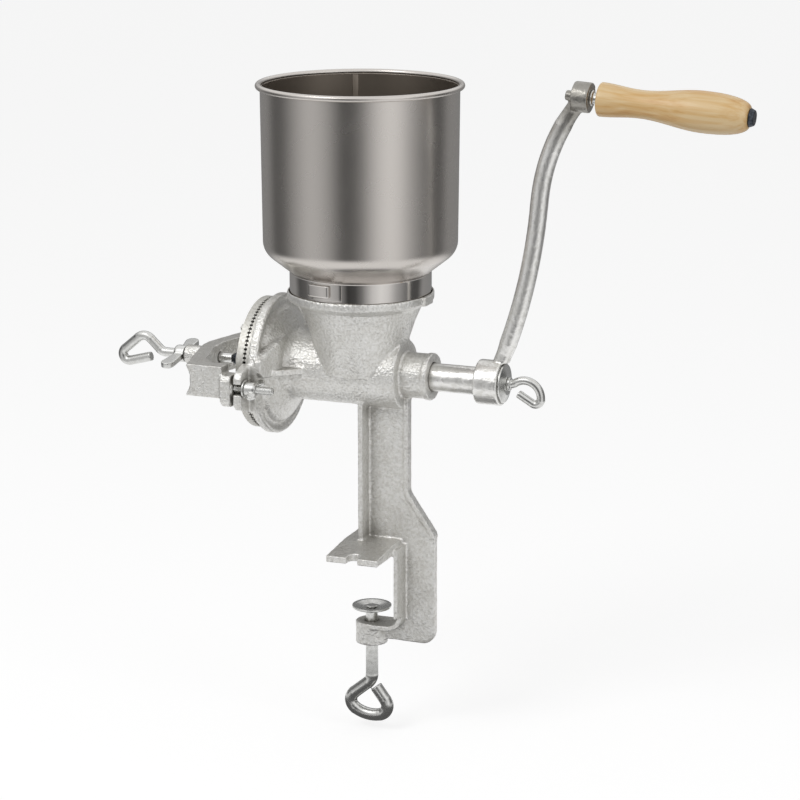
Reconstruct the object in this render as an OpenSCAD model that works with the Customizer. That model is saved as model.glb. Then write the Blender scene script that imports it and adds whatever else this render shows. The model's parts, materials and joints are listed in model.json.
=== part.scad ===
// Hand-cranked malt mill: cast body with a table clamp, tin hopper, feed screw,
// two burr plates, an adjusting yoke and an S-shaped crank.
// Millimetres, +Z up. The origin is where the clamp screw's axis meets the table top.
// +X runs along the grinding shaft to the crank, and -Y faces the viewer.

/* [Shaft and barrel] */
// height of the shaft's axis above the table top
shaft_h = 131; // [110:1:160]
// diameter of the shaft in its bearing
shaft_d = 20; // [16:0.5:22]
// diameter of the shaft inside the feed screw and the plate carrier
core_d = 16; // [12:0.5:17]
// outer diameter of the barrel
barrel_d = 50; // [46:1:60]
// bore of the barrel round the feed screw
barrel_bore_d = 40; // [36:0.5:42]
// right end of the barrel, along the shaft
barrel_end_x = 27; // [24:1:34]
// outer diameter of the bearing boss
bearing_d = 33; // [28:1:38]
// length of the bearing boss beyond the barrel
bearing_l = 21; // [14:1:28]

/* [Hopper] */
// place of the hopper's axis along the shaft
hopper_x = -8; // [-14:1:0]
// height of the funnel rim above the shaft
funnel_h = 60; // [54:1:70]
// thickness of the funnel rim round the hopper collar
funnel_wall = 2.2; // [1.8:0.1:6]
// height of the funnel rim's band
funnel_band = 7.5; // [5:0.5:10]
// depth of the seat that the hopper collar drops into
seat_depth = 4; // [2:0.5:6]
// outer radius of the hopper collar
collar_r = 50.8; // [46:0.2:58]
// height of the hopper collar
collar_h = 17.5; // [12:0.5:24]
// radius of the bowl at the foot of its wall
bowl_foot_r = 69.5; // [62:0.5:80]
// radius of the bowl at its rim
bowl_rim_r = 70.5; // [62:0.5:82]
// height of the bowl from its neck to its rim bead
bowl_h = 134.5; // [100:0.5:170]
// radius of the bowl's lower corner
bowl_corner_r = 14; // [8:1:20]
// radius of the rolled rim bead
bead_r = 2.1; // [1.5:0.1:3]
// thickness of the hopper's sheet
sheet = 0.8; // [0.5:0.1:1.2]

/* [Burr plates] */
// radius of both grinding plates
plate_r = 48; // [42:0.5:49]
// thickness of a grinding plate
plate_t = 6; // [5:0.5:8]
// depth of the furrows cut in a plate
furrow_depth = 1; // [0.5:0.25:3]
// furrows that reach the rim of a plate
furrow_count = 96; // [36:2:110]
// coarse furrows round the feed hole
coarse_count = 12; // [6:1:18]
// distance between the plates at rest
plate_gap = 0.6; // [0.5:0.1:2]
// radius of the housing flange behind the fixed plate
flange_r = 51.4; // [50:0.2:57]
// thickness of the housing flange
flange_t = 7; // [5:0.5:10]
// right face of the housing flange, along the shaft
flange_x = -68; // [-74:1:-62]
// where the housing's cone meets the barrel
cone_x = -54; // [-60:1:-44]

/* [Adjusting yoke] */
// distance of each stud from the shaft, to either side
stud_y = 60; // [58:0.5:66]
// drop of the studs below the shaft
stud_drop = 6; // [0:0.5:12]
// diameter of a stud
stud_d = 6; // [5:0.5:8]
// left face of the fork ears, along the shaft
fork_x = -79.5; // [-86:0.1:-78]
// thickness of the fork ears
fork_t = 6.5; // [5:0.1:9]
// left end of the yoke's boss
yoke_x = -146.5; // [-152:0.5:-140]
// diameter of the yoke's boss, and its length before the bow
yoke_boss_d = 14.5; // [13:0.5:20]
yoke_boss_l = 15; // [8:0.5:20]
// height of the yoke's arms
yoke_arm_h = 23.5; // [18:0.5:30]
// thickness of the yoke's ears, and how far they reach in from the studs and below the shaft
yoke_ear_t = 8; // [6:0.5:10]
yoke_ear_in = 7; // [5:0.5:9]
yoke_ear_drop = 19.5; // [16:0.5:22]
// diameter of the adjusting screw
adjust_d = 7; // [6:0.5:9]
// its loop: radius of the top and of the tip, and the straight runs before and after each
adjust_top_r = 7.5; // [6:0.5:10]
adjust_tip_r = 5; // [4:0.5:8]
adjust_lead = 10.9; // [6:0.1:14]
adjust_side = 14.9; // [8:0.1:20]
adjust_tail = 18; // [10:0.5:19]
// radius of the thrust ball
ball_r = 5; // [4:0.25:6]

/* [Crank] */
// left face of the crank hub, along the shaft
hub_x = 82.6; // [76:0.2:96]
// length of the crank hub
hub_l = 18; // [14:0.5:24]
// diameter of the crank hub
hub_d = 32; // [28:0.5:38]
// side of the square where the hub sits on the shaft
square_w = 12; // [9:0.5:13]
// width of the crank arm, seen from the side
arm_w = 11.6; // [8:0.2:14]
// thickness of the crank arm
arm_t = 8.5; // [6:0.5:12]
// lean of the arm where it leaves the hub, in degrees
arm_lean = 24; // [10:1:35]
// radius and turn of the lower bend, in degrees
arm_low_r = 400; // [200:10:600]
arm_low_turn = 19.5; // [5:0.5:25]
// radius and turn of the upper bend, in degrees
arm_high_r = 134; // [100:5:300]
arm_high_turn = 35; // [10:0.5:45]
// diameter and length of the eye that holds the grip's pin
eye_d = 21; // [16:0.5:26]
eye_l = 12; // [8:0.5:18]
// diameter of the crank's thumb screw
crank_screw_d = 6; // [4:0.5:7]
// its loop: radius of the round and of the tip, and the straight run back
thumb_r = 12; // [9:0.5:16]
thumb_tip_r = 4; // [3.5:0.5:6]
thumb_tail = 12.5; // [8:0.5:13]

/* [Grip] */
// tilt of the grip's pin below the shaft's direction, in degrees
grip_tilt = 3.8; // [0:0.1:5]
// length of the wooden grip
grip_l = 105; // [80:1:130]
// diameters of the grip: at its inner end, waist, belly and outer end
grip_end_d = 23.6; // [18:0.2:30]
grip_waist_d = 19.4; // [16:0.2:26]
grip_belly_d = 28.4; // [22:0.2:36]
grip_tip_d = 13.4; // [10:0.2:20]
// diameter of the grip's pin
pin_d = 7; // [5:0.5:9]

/* [Table clamp] */
// width of the foot plate along the shaft
foot_w = 40; // [32:1:50]
// half length of the foot plate across the shaft
foot_half = 50; // [40:1:60]
// thickness of the foot plate at its edge
foot_t = 5; // [4:0.5:8]
// right end of the foot plate, where the clamp's back rises
back_x = 24.5; // [20:0.5:34]
// width and depth of the screw notches in the foot plate
notch_w = 8; // [5:0.5:11]
notch_depth = 9; // [5:0.5:14]
// left face of the leg's flange
leg_x = -4.5; // [-8:0.5:0]
// right edge of the leg's web
leg_edge_x = 30; // [26:0.5:36]
// width of the leg's flange across the shaft
leg_flange_w = 33; // [24:1:44]
// right edge of the clamp's back
clamp_edge_x = 50.6; // [46:0.2:58]
// thickness of the cast webs
web_t = 6; // [4:0.5:9]
// thickness of the cast flanges
rib_t = 4; // [3:0.25:6]
// opening between the foot plate and the clamp pad
clamp_open = 45.5; // [40:0.5:52]
// top of the clamp's screw boss below the table top
boss_top = 57; // [54:1:70]
// height and diameter of the screw boss
boss_h = 17; // [12:1:24]
boss_d = 24; // [18:0.5:30]
// diameter of the clamp screw
clamp_d = 9.2; // [8:0.2:11]
// straight rod below the boss
clamp_straight = 26; // [20:1:40]
// its loop: radius of the corners and of the bottom, and the straight runs down and back
clamp_corner_r = 7.5; // [6:0.5:12]
clamp_bottom_r = 26; // [16:1:40]
clamp_lead = 14.8; // [10:0.2:20]
clamp_tail = 12.5; // [8:0.5:13]
// diameter and thickness of the clamp pad
pad_d = 29; // [24:0.5:36]
pad_t = 4; // [3:0.5:6]

/* [Fits] */
// running clearance between a shaft and its hole, on the radius
run_fit = 0.05; // [0.02:0.01:0.1]
// clearance between loose neighbours
loose_fit = 0.3; // [0.2:0.05:0.6]

/* [View] */
// sub-part to draw, or all

/* [Hidden] */
$fn = 64;

cast_colour = [0.78, 0.78, 0.74];
tin_colour = [0.62, 0.60, 0.57];
zinc_colour = [0.68, 0.68, 0.66];
steel_colour = [0.45, 0.45, 0.45];
wood_colour = [0.90, 0.73, 0.48];

// heights of the hopper's parts
rim_z = shaft_h + funnel_h;
seat_z = rim_z - seat_depth;
funnel_r = collar_r + funnel_wall;
collar_top_z = seat_z + loose_fit / 3 + collar_h;
bowl_top_z = collar_top_z + bowl_h;
neck_r = collar_r - sheet - run_fit;
shoulder_slope = 38;

// places of the plates along the shaft
flange_face_x = flange_x - flange_t;
plate_seat = 2.4;
fixed_face_x = flange_face_x + plate_seat - plate_t;
moving_face_x = fixed_face_x - plate_gap;
carrier_x = moving_face_x - plate_t;
carrier_t = 5.5;
carrier_hub_l = 15.6;
carrier_end_x = carrier_x - carrier_hub_l;
feed_hole_r = barrel_bore_d / 2 + 1;
drive_pin_x = carrier_x - carrier_hub_l * 0.64;
drive_pin_d = 5;
pin_ring_d = 5;
pin_ring_r = feed_hole_r + pin_ring_d + 3;
carrier_r = pin_ring_r + pin_ring_d + 3;

// places of the adjusting parts along the shaft
ball_x = carrier_end_x - ball_r * 0.76;
screw_tip_x = ball_x - ball_r * 0.9;
stud_z = shaft_h - stud_drop;
fork_right_x = fork_x + fork_t;
washer_t = 1.2;
nut_hub_l = 8.4;
nut_span = 12;
stud_end_x = fork_right_x + 22;
lock_hub_l = 8.4;
lock_x = yoke_x - 0.6;
bow_x = yoke_x + yoke_boss_l;

// places of the crank's parts along the shaft
hub_end_x = hub_x + hub_l;
dish_h = 3.6;
arm_mid_x = hub_x + hub_l * 0.55;
lean_mid = arm_lean - arm_low_turn;
lean_top = lean_mid + arm_high_turn;
eye_x = arm_mid_x + arm_low_r * (cos(lean_mid) - cos(arm_lean))
    + arm_high_r * (cos(lean_mid) - cos(lean_top));
eye_z = shaft_h + arm_low_r * (sin(arm_lean) - sin(lean_mid))
    + arm_high_r * (sin(lean_top) - sin(lean_mid));
grip_start = eye_l / 2 + 6;

// heights of the clamp's parts
pad_top_z = -clamp_open;
pad_bottom_z = pad_top_z - pad_t;
screw_top_z = pad_bottom_z - loose_fit;
boss_bottom_z = -boss_top - boss_h;
arm_bottom_z = boss_bottom_z + 4;
pad_hole_r = 3;

// points along an arc, from one angle to another
function arc(x, y, r, from, to, steps = 12) =
    [for (i = [0:steps]) let (a = from + (to - from) * i / steps) [x + r * cos(a), y + r * sin(a)]];

function ease(t) = (1 - cos(180 * t)) / 2;

// turns a piece that was drawn along +Z to lie along +X, at a place on the shaft
module along_shaft(x) {
    translate([x, 0, shaft_h])
        rotate([0, 90, 0])
            children();
}

// a cylinder along the shaft, from one place to another
module journal(from, to, r) {
    along_shaft(from)
        cylinder(h = to - from, r = r);
}

// a bar that starts upwards at the origin and bends in the XZ plane; each step is
// [radius, turn], and a thin plate, a touch wider, closes each join between its bends
module bent(steps, i = 0) {
    join = 0.1;
    if (i < len(steps)) {
        r = steps[i][0];
        turn = steps[i][1];
        side = turn < 0 ? -1 : 1;
        trim = join / r * 180 / PI;
        if (i > 0)
            translate([0, 0, -3 * join])
                linear_extrude(6 * join)
                    scale(1.03)
                        children();
        translate([side * r, 0, 0])
            rotate([90, 0, side > 0 ? 180 : 0])
                rotate([0, 0, trim])
                    rotate_extrude(angle = abs(turn) - 2 * trim, $fn = 96)
                        translate([r, 0])
                            children();
        translate([side * r * (1 - cos(turn)), 0, r * sin(abs(turn))])
            rotate([0, turn, 0])
                bent(steps, i + 1)
                    children();
    }
}

// a round rod bent in the same way, where a step may also be [length] for a straight run;
// a ball, a touch wider, closes each join between its runs
module rod(d, steps, i = 0) {
    join = 0.1;
    if (i < len(steps)) {
        step = steps[i];
        start = i == 0 ? 0 : join;
        if (i > 0)
            sphere(d = 1.03 * d);
        if (len(step) == 1) {
            finish = i == len(steps) - 1 ? 0 : join;
            translate([0, 0, start])
                cylinder(h = step[0] - start - finish, d = d);
            translate([0, 0, step[0]])
                rod(d, steps, i + 1);
        } else {
            r = step[0];
            turn = step[1];
            side = turn < 0 ? -1 : 1;
            trim = join / r * 180 / PI;
            translate([side * r, 0, 0])
                rotate([90, 0, side > 0 ? 180 : 0])
                    rotate([0, 0, trim])
                        rotate_extrude(angle = abs(turn) - 2 * trim)
                            translate([r, 0])
                                circle(d = d);
            translate([side * r * (1 - cos(turn)), 0, r * sin(abs(turn))])
                rotate([0, turn, 0])
                    rod(d, steps, i + 1);
        }
    }
}

// a wing nut along +Z, with its wings flared beyond the far end of its hub
module wing_nut(bore_d, hub_d, hub_l, span, wing_r, wing_t, rise) {
    tip = span - wing_r;
    difference() {
        union() {
            cylinder(h = hub_l * 0.8, d = hub_d);
            translate([0, 0, hub_l * 0.8])
                cylinder(h = hub_l * 0.2, d1 = hub_d, d2 = hub_d * 0.86);
            for (side = [0, 180])
                rotate([0, 0, side])
                    translate([0, wing_t / 2, 0])
                        rotate([90, 0, 0])
                            linear_extrude(wing_t) {
                                polygon([[0, rise], [hub_d * 0.36, rise], [tip, rise],
                                    [tip, rise + 2 * wing_r], [hub_d * 0.4, hub_l * 0.86],
                                    [0, hub_l * 0.86]]);
                                translate([tip, rise + wing_r])
                                    circle(wing_r);
                            }
        }
        translate([0, 0, -1])
            cylinder(h = hub_l + 2 * wing_r + 2, d = bore_d);
    }
}

// the grinding pattern of a plate: lands that rise from its base, facing +Z
module plate_lands() {
    coarse_r = plate_r * 0.66;
    linear_extrude(furrow_depth)
        difference() {
            circle(plate_r);
            for (i = [0:furrow_count - 1])
                rotate([0, 0, 360 * i / furrow_count])
                    translate([coarse_r, 5])
                        square([plate_r, 1.5]);
            for (i = [0:coarse_count - 1])
                rotate([0, 0, 360 * i / coarse_count])
                    translate([0, 4])
                        square([coarse_r - 2, 4.5]);
        }
}

// a grinding plate with its furrows facing +Z and blind holes for its pins
module burr_plate(hole_r) {
    difference() {
        union() {
            cylinder(h = plate_t - furrow_depth, r = plate_r);
            translate([0, 0, plate_t - furrow_depth])
                plate_lands();
        }
        translate([0, 0, -1])
            cylinder(h = plate_t + 2, r = hole_r);
        pin_ring()
            translate([0, 0, -1])
                cylinder(h = plate_t - furrow_depth - 0.5, d = pin_ring_d + 2 * run_fit);
    }
}

// three places on the ring of pins behind a plate
module pin_ring() {
    for (a = [30, 150, 270])
        rotate([0, 0, a])
            translate([pin_ring_r, 0, 0])
                children();
}

// the funnel that the hopper drops into, hollowed by funnel_hollow()
module funnel() {
    translate([hopper_x, 0, 0])
        rotate_extrude($fn = 128)
            polygon([[0, shaft_h], [barrel_d / 2 + 5, shaft_h], [barrel_d / 2 + 8, shaft_h + 17],
                [36, shaft_h + 27], [40, rim_z - 21], [funnel_r - 8.5, rim_z - funnel_band - 3],
                [funnel_r - 2, rim_z - funnel_band], [funnel_r, rim_z - funnel_band + 1.5],
                [funnel_r, rim_z - 1.5], [funnel_r - 1, rim_z], [0, rim_z]]);
    translate([hopper_x, 0, 0])
        rotate([0, 0, -11])
            rotate_extrude(angle = 16)
                translate([funnel_r - 3, rim_z - funnel_band])
                    square([4.4, funnel_band - 0.6]);
}

// the inside of the funnel, down into the barrel
module funnel_hollow() {
    throat_r = barrel_bore_d / 2;
    translate([hopper_x, 0, 0])
        rotate_extrude($fn = 128)
            polygon([[0, shaft_h], [throat_r, shaft_h], [throat_r, shaft_h + 17], [31, shaft_h + 28],
                [35, rim_z - 21], [collar_r - 11, seat_z - 7], [collar_r - 5, seat_z],
                [collar_r + loose_fit, seat_z], [collar_r + loose_fit, rim_z + 1], [0, rim_z + 1]]);
}

// barrel, bearing boss, cone and plate flange, turned round the shaft
module barrel_casting() {
    back_r = flange_r - 8;
    journal(cone_x - 1, barrel_end_x, barrel_d / 2);
    journal(barrel_end_x - 1, barrel_end_x + bearing_l, bearing_d / 2);
    journal(barrel_end_x + bearing_l - 4, barrel_end_x + bearing_l, bearing_d / 2 + 0.8);
    along_shaft(0)
        rotate_extrude($fn = 128)
            polygon([[0, cone_x], [barrel_d / 2, cone_x], [barrel_d / 2 + 2, cone_x - 3],
                [back_r - 2, flange_x + 2], [back_r, flange_x - 1.5], [flange_r - 4, flange_x - 1.5],
                [flange_r - 3.4, flange_x], [flange_r - 1, flange_x], [flange_r, flange_x - 1],
                [flange_r, flange_face_x], [0, flange_face_x]]);
}

// one fork ear, on the -Y side, with the rib that braces it to the barrel
module fork_ear() {
    inner_y = plate_r + 2;
    outer_y = stud_y + 6;
    translate([flange_x, 0, shaft_h])
        rotate([0, -90, 0])
            linear_extrude(flange_t)
                polygon([[20, -14], [6, -outer_y + 3], [2, -outer_y], [-18, -outer_y],
                    [-22, -outer_y + 4], [-30, -38]]);
    translate([flange_x - 1, 0, shaft_h])
        rotate([0, -90, 0])
            linear_extrude(flange_x - 1 - fork_x)
                polygon([[10, -inner_y], [6, -outer_y + 3], [2, -outer_y], [-18, -outer_y],
                    [-22, -outer_y + 4], [-24, -inner_y]]);
    translate([0, 0, shaft_h - 1])
        linear_extrude(5)
            polygon([[flange_x - 1, -14], [flange_x - 1, -46], [flange_x + 2, -46], [-40, -23], [-40, -14]]);
    // the gusset that climbs from the ear to the housing's cone
    intersection() {
        translate([0, 0, shaft_h])
            linear_extrude(30)
                polygon([[flange_x - 1, -18], [flange_x - 1, -outer_y + 4], [flange_x + 2, -outer_y + 8],
                    [flange_x + 10, -33], [flange_x + 10, -18]]);
        translate([flange_x - 5, 0, shaft_h])
            rotate([90, 0, 90])
                linear_extrude(20)
                    polygon([[-outer_y, -1], [-outer_y + 4, 7], [-33, 23], [-18, 27], [-18, -1]]);
    }
}

// the slot that a stud drops into, open to the outside
module fork_slot() {
    translate([flange_face_x - 20, -stud_y - 20, stud_z - stud_d / 2 - 0.6])
        cube([60, 20, stud_d + 1.2]);
    translate([flange_face_x - 20, -stud_y, stud_z])
        rotate([0, 90, 0])
            cylinder(h = 60, d = stud_d + 1.2);
}

// room for the washer and the wing nut, cut into the ear beside the flange
module nut_room() {
    translate([fork_right_x, -stud_y - 20, stud_z - 40])
        cube([60, 20 + stud_y - flange_r - 0.6, 80]);
    translate([flange_x + 0.1, -stud_y, stud_z])
        rotate([0, 90, 0])
            cylinder(h = 60, r = nut_span + 0.8);
}

// right edge of the leg and the clamp's back, moved inwards by inset
function leg_edge(inset) =
    let (r = 10, lean = 35, run = clamp_edge_x - leg_edge_x - 2 * r * (1 - cos(lean)),
        drop = 2 * r * sin(lean) + run / tan(lean), low_z = 11)
    concat([[leg_edge_x - inset, shaft_h - 12]],
        arc(leg_edge_x + r, low_z + drop, r + inset, 180, 180 + lean),
        arc(clamp_edge_x - r, low_z, r - inset, lean, 0));

// leg, foot plate and C-shaped clamp, with webs in the plane of the shaft
module leg_casting() {
    corner_r = 10;
    inner_r = 9;
    foot_mid = back_x - foot_w / 2;
    // the web of the leg, the clamp's back and the lower arm, in one outline
    translate([0, web_t / 2, 0])
        rotate([90, 0, 0])
            linear_extrude(web_t)
                polygon(concat([[leg_x + 1, shaft_h - 12]], leg_edge(0),
                    arc(clamp_edge_x - corner_r, arm_bottom_z + corner_r, corner_r, 0, -90),
                    [[0, arm_bottom_z], [0, -boss_top - 2]],
                    [[back_x - inner_r, -boss_top - 2]], [[back_x + 1, -boss_top + inner_r - 2]],
                    [[back_x + 1, 1], [leg_x + 1, 1]]));
    // the thicker bead along the leg's right edge
    bead_t = web_t + 2;
    inner_edge = leg_edge(3.6);
    translate([0, bead_t / 2, 0])
        rotate([90, 0, 0])
            linear_extrude(bead_t)
                polygon(concat(leg_edge(0),
                    [for (i = [len(inner_edge) - 1:-1:0]) inner_edge[i]]));
    // the leg's flange
    translate([leg_x, -leg_flange_w / 2, 1])
        cube([rib_t, leg_flange_w, shaft_h - 15]);
    // the foot plate, thinner towards its ends
    difference() {
        translate([back_x - foot_w, 0, 0])
            rotate([90, 0, 90])
                linear_extrude(foot_w)
                    polygon([[-foot_half, 0], [foot_half, 0], [foot_half, foot_t], [18, foot_t + 3],
                        [-18, foot_t + 3], [-foot_half, foot_t]]);
        for (side = [-1, 1])
            translate([foot_mid, side * (foot_half - notch_depth + notch_w / 2), -1]) {
                cylinder(h = foot_t + 6, d = notch_w);
                translate([-notch_w / 2, side > 0 ? 0 : -notch_depth, 0])
                    cube([notch_w, notch_depth, foot_t + 6]);
            }
    }
    // the inner flange of the clamp's back and of its lower arm
    back_w = leg_flange_w + 7;
    translate([back_x, -back_w / 2, -boss_top + inner_r])
        cube([rib_t - 0.5, back_w, boss_top - inner_r + foot_t]);
    translate([0, boss_d / 2, 0])
        rotate([90, 0, 0])
            linear_extrude(boss_d)
                polygon(concat([[back_x + rib_t - 0.5, -boss_top + inner_r + 6],
                    [back_x, -boss_top + inner_r + 6]],
                    arc(back_x - inner_r, -boss_top + inner_r, inner_r, 0, -90),
                    [[0, -boss_top], [0, -boss_top - rib_t]],
                    arc(back_x - inner_r, -boss_top + inner_r, inner_r + rib_t, -90, -15)));
    // the boss that the clamp screw runs in
    translate([0, 0, boss_bottom_z])
        cylinder(h = boss_h, d = boss_d);
}

// the one casting that carries everything else
module mill_body() {
    color(cast_colour)
        difference() {
            union() {
                funnel();
                barrel_casting();
                for (side = [0, 1])
                    mirror([0, side, 0])
                        fork_ear();
                leg_casting();
            }
            funnel_hollow();
            journal(flange_face_x - 1, barrel_end_x - 5, barrel_bore_d / 2);
            journal(barrel_end_x - 6, barrel_end_x + bearing_l + 1, shaft_d / 2 + run_fit);
            journal(flange_face_x - 1, flange_face_x + plate_seat, plate_r + run_fit);
            along_shaft(flange_face_x + plate_seat - 0.5)
                pin_ring()
                    cylinder(h = 3.5, d = pin_ring_d + 2 * run_fit);
            for (side = [0, 1])
                mirror([0, side, 0]) {
                    fork_slot();
                    nut_room();
                }
            translate([0, 0, boss_bottom_z - 1])
                cylinder(h = boss_h + 2, d = clamp_d + 2 * run_fit);
        }
}

// the bowl: neck, cone, rounded corner, wall and rolled rim
module hopper_bowl() {
    corner_x = bowl_foot_r - bowl_corner_r;
    corner_z = collar_top_z + 0.1 + bowl_corner_r * sin(90 - shoulder_slope)
        + (corner_x + bowl_corner_r * cos(90 - shoulder_slope) - neck_r) * tan(shoulder_slope);
    inner_corner_r = bowl_corner_r - sheet;
    inner_neck_z = collar_top_z + 0.1 + sheet * (1 / cos(shoulder_slope) - tan(shoulder_slope));
    neck_z = seat_z + 6;
    bead_z = bowl_top_z - bead_r;
    color(tin_colour)
        translate([hopper_x, 0, 0]) {
            rotate_extrude($fn = 160) {
                polygon(concat([[neck_r, neck_z], [neck_r, collar_top_z + 0.1]],
                    arc(corner_x, corner_z, bowl_corner_r, shoulder_slope - 90, 0, 10),
                    [[bowl_rim_r, bead_z], [bowl_rim_r - sheet, bead_z]],
                    arc(corner_x, corner_z, inner_corner_r, 0, shoulder_slope - 90, 10),
                    [[neck_r - sheet, inner_neck_z], [neck_r - sheet, neck_z]]));
                translate([bowl_rim_r - sheet + bead_r, bead_z])
                    circle(bead_r);
            }
            // the lapped seam up the inside of the back
            intersection() {
                rotate_extrude($fn = 160)
                    polygon([[bowl_foot_r - 1.5 * sheet, corner_z], [bowl_foot_r - 0.5 * sheet, corner_z],
                        [bowl_rim_r - 0.5 * sheet, bead_z], [bowl_rim_r - 1.5 * sheet, bead_z]]);
                rotate([0, 0, 115])
                    translate([0, -2, 0])
                        cube([bowl_rim_r + 5, 4, bowl_top_z]);
            }
        }
}

// the polished collar that drops into the funnel, with its lapped strip and tab
module hopper_collar() {
    bottom_z = seat_z + loose_fit / 3;
    color(tin_colour)
        translate([hopper_x, 0, 0]) {
            rotate_extrude($fn = 160)
                translate([collar_r - sheet, bottom_z])
                    square([sheet, collar_h]);
            rotate([0, 0, -110])
                rotate_extrude(angle = 27, $fn = 160)
                    translate([collar_r - 0.2, rim_z + 0.6])
                        square([0.8, collar_h - seat_depth - 1.4]);
        }
}

// the plate that is pinned to the housing, furrows facing the yoke
module fixed_grinding_plate() {
    color(steel_colour)
        along_shaft(fixed_face_x + plate_t)
            mirror([0, 0, 1])
                burr_plate(feed_hole_r);
}

// three pins that keep the fixed plate from turning
module fixed_plate_pins() {
    color(steel_colour)
        along_shaft(flange_face_x + plate_seat)
            pin_ring()
                translate([0, 0, -2.8])
                    cylinder(h = 5.6, d = pin_ring_d);
}

// the plate that turns with the shaft, furrows facing the fixed plate
module rotating_grinding_plate() {
    color(steel_colour)
        along_shaft(carrier_x)
            burr_plate(core_d / 2 + run_fit);
}

// the disc and hub that carry the rotating plate and push on the ball
module plate_carrier() {
    color(cast_colour)
        difference() {
            union() {
                journal(carrier_x - carrier_t, carrier_x, carrier_r);
                journal(carrier_end_x, carrier_x, core_d / 2 + 7);
                for (a = [90, 210, 330])
                    along_shaft(carrier_x - carrier_t - 4)
                        rotate([0, 0, a])
                            translate([0, -2.5, 0])
                                cube([carrier_r - 3, 5, 5]);
            }
            journal(carrier_end_x + 4, carrier_x + 1, core_d / 2 + run_fit);
            along_shaft(carrier_x)
                pin_ring()
                    translate([0, 0, -carrier_t - 1])
                        cylinder(h = carrier_t + 2, d = pin_ring_d + 2 * run_fit);
            translate([drive_pin_x, 0, 0])
                cylinder(h = 2 * shaft_h, d = drive_pin_d + 2 * run_fit);
            translate([ball_x, 0, shaft_h])
                sphere(ball_r + loose_fit * 0.6);
        }
}

// three rivets that hold the rotating plate on its carrier
module carrier_rivets() {
    color(steel_colour)
        along_shaft(carrier_x)
            pin_ring() {
                translate([0, 0, -carrier_t - 0.4])
                    cylinder(h = carrier_t + 3, d = pin_ring_d);
                translate([0, 0, -carrier_t - 1.8])
                    cylinder(h = 1.8, d1 = pin_ring_d, d2 = pin_ring_d + 4);
            }
}

// the shaft: bearing journal, square for the crank and slim core for screw and plate
module drive_shaft() {
    color(cast_colour)
        difference() {
            union() {
                journal(carrier_end_x + 4.2, barrel_end_x - 4, core_d / 2);
                journal(barrel_end_x - 5, hub_x - 0.2, shaft_d / 2);
                translate([hub_x - 1, -square_w / 2, shaft_h - square_w / 2])
                    cube([hub_l, square_w, square_w]);
            }
            journal(hub_x, hub_end_x + 1, crank_screw_d / 2 + run_fit);
            translate([drive_pin_x, 0, 0])
                cylinder(h = 2 * shaft_h, d = drive_pin_d + 2 * run_fit);
        }
}

// the worm that carries the grain along the barrel to the plates
module feed_screw() {
    start_x = fixed_face_x + 1;
    end_x = barrel_end_x - 5 - 1;
    length = end_x - start_x;
    flight_r = barrel_bore_d / 2 - 1;
    color(cast_colour)
        difference() {
            union() {
                journal(start_x, end_x, core_d / 2 + 2.6);
                along_shaft(start_x + 2)
                    linear_extrude(length - 4, twist = -360 * (length - 4) / 34, slices = 40)
                        polygon([[core_d / 2 + 0.5, -2.4], [flight_r, -1.8], [flight_r, 1.8],
                            [core_d / 2 + 0.5, 2.4]]);
            }
            journal(start_x - 1, end_x + 1, core_d / 2 + run_fit);
        }
}

// the pin through the carrier and the shaft that drives the rotating plate
module drive_pin() {
    length = core_d + 13;
    color(steel_colour)
        translate([drive_pin_x, 0, shaft_h - length / 2])
            cylinder(h = length, d = drive_pin_d);
}

// the ball between the carrier and the adjusting screw
module thrust_ball() {
    color(steel_colour)
        translate([ball_x, 0, shaft_h])
            sphere(ball_r);
}

// half of the yoke on the -Y side: arm, ear and stud hole
module yoke_half() {
    outer_y = stud_y + 6;
    ear_x = fork_x - yoke_ear_t - 1.5;
    ear_y = yoke_ear_in - stud_y;
    arm_low = shaft_h - yoke_arm_h + 10;
    translate([0, 0, arm_low])
        linear_extrude(yoke_arm_h)
            polygon([[bow_x, 0], [bow_x, -5], [bow_x + 9.5, -44], [bow_x + 15.5, -outer_y],
                [ear_x + 1, -outer_y], [ear_x + 1, ear_y], [bow_x + 28.5, ear_y],
                [bow_x + 21.5, -44], [bow_x + 11, -6], [bow_x + 11, 0]]);
    translate([ear_x, 0, shaft_h])
        rotate([90, 0, 90])
            linear_extrude(yoke_ear_t)
                polygon([[ear_y, 4], [-outer_y, 4], [-outer_y - 2, 0], [-outer_y - 2, 4 - yoke_ear_drop],
                    [-outer_y + 2, -yoke_ear_drop], [ear_y, -yoke_ear_drop]]);
    translate([ear_x + yoke_ear_t - 1, -stud_y, stud_z])
        rotate([0, 90, 0])
            cylinder(h = fork_x - ear_x - yoke_ear_t + 0.9, d = stud_d + 6);
}

// the yoke that holds the adjusting screw in front of the plates
module adjusting_yoke() {
    color(cast_colour)
        difference() {
            union() {
                for (side = [0, 1])
                    mirror([0, side, 0])
                        yoke_half();
                journal(yoke_x, bow_x + 2, yoke_boss_d / 2);
                along_shaft(bow_x - 5)
                    cylinder(h = 17, d1 = yoke_boss_d - 0.4, d2 = yoke_boss_d + 6);
            }
            journal(yoke_x - 1, bow_x + 14, adjust_d / 2 + run_fit);
            for (side = [-1, 1]) {
                translate([fork_x - 16, side * stud_y, stud_z])
                    rotate([0, 90, 0])
                        cylinder(h = 20, d = stud_d + 2 * run_fit);
                translate([bow_x + 2.5, side * (stud_y + 2), shaft_h + 10 - yoke_arm_h / 2])
                    rotate([90, 0, 0])
                        cylinder(h = 18, r = 16, center = true);
            }
        }
}

// a stud, set in the yoke and standing in the fork
module stud(side) {
    color(zinc_colour)
        translate([fork_x - 15.5, side * stud_y, stud_z])
            rotate([0, 90, 0])
                cylinder(h = stud_end_x - fork_x + 15.5, d = stud_d);
}

module stud_near() {
    stud(-1);
}

module stud_far() {
    stud(1);
}

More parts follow.
